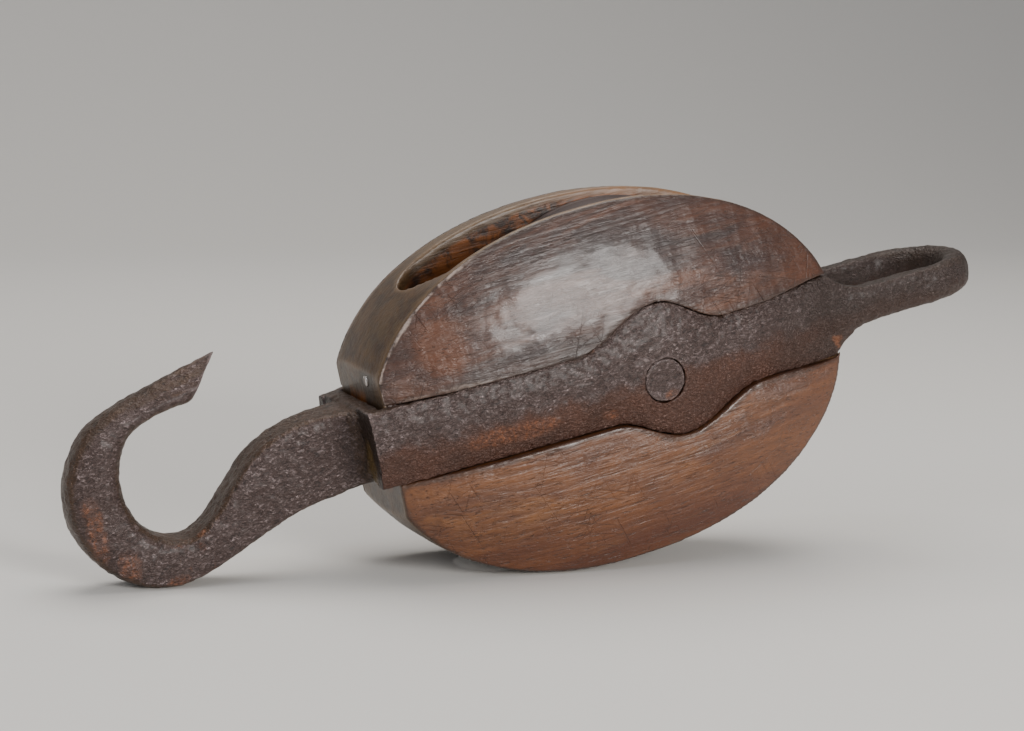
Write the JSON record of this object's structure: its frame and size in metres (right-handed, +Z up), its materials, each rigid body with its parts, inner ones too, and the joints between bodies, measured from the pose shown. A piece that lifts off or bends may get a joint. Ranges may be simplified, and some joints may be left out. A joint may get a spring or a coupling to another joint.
{
  "type": "iron-strapped wooden pulley block",
  "caption": "Old wooden pulley block: an oval shell with a sheave in its slot, a forged iron strap ending in a becket eye, and a plain forged hook at the other end.",
  "frame": {"origin": "on the ground plane under the middle of the block's outline, in the sheave's middle plane", "axes": "+Z up from the surface the block lies on; +X horizontal, from the hook towards the becket eye; +Y along the pin, away from the near cheek. The block's own long axis rises 13.85 degrees from +X towards +Z"},
  "size_m": [0.5706, 0.1148, 0.2226],
  "materials": {
    "elm": "satin",
    "dowel_wood": "matte",
    "lignum_vitae": "satin",
    "forged_iron": "satin",
    "nail_iron": "satin",
    "gunmetal": "satin"
  },
  "bodies": {
    "block": {"shell_core": "elm", "near_cheek": "elm", "far_cheek": "elm", "near_dowel_1": "dowel_wood", "near_dowel_2": "dowel_wood", "far_dowel_1": "dowel_wood", "far_dowel_2": "dowel_wood", "crown_nail": "nail_iron", "strap": "forged_iron", "hook": "forged_iron", "pin": "forged_iron"},
    "wheel": {"sheave": "lignum_vitae", "sheave_bush": "gunmetal"}
  },
  "joints": [
    {"name": "sheave_spin", "type": "hinge", "parent": "block", "child": "wheel", "pos_m": [0.05112, 0, 0.11597], "axis": [0, 1, 0], "continuous": true}
  ]
}
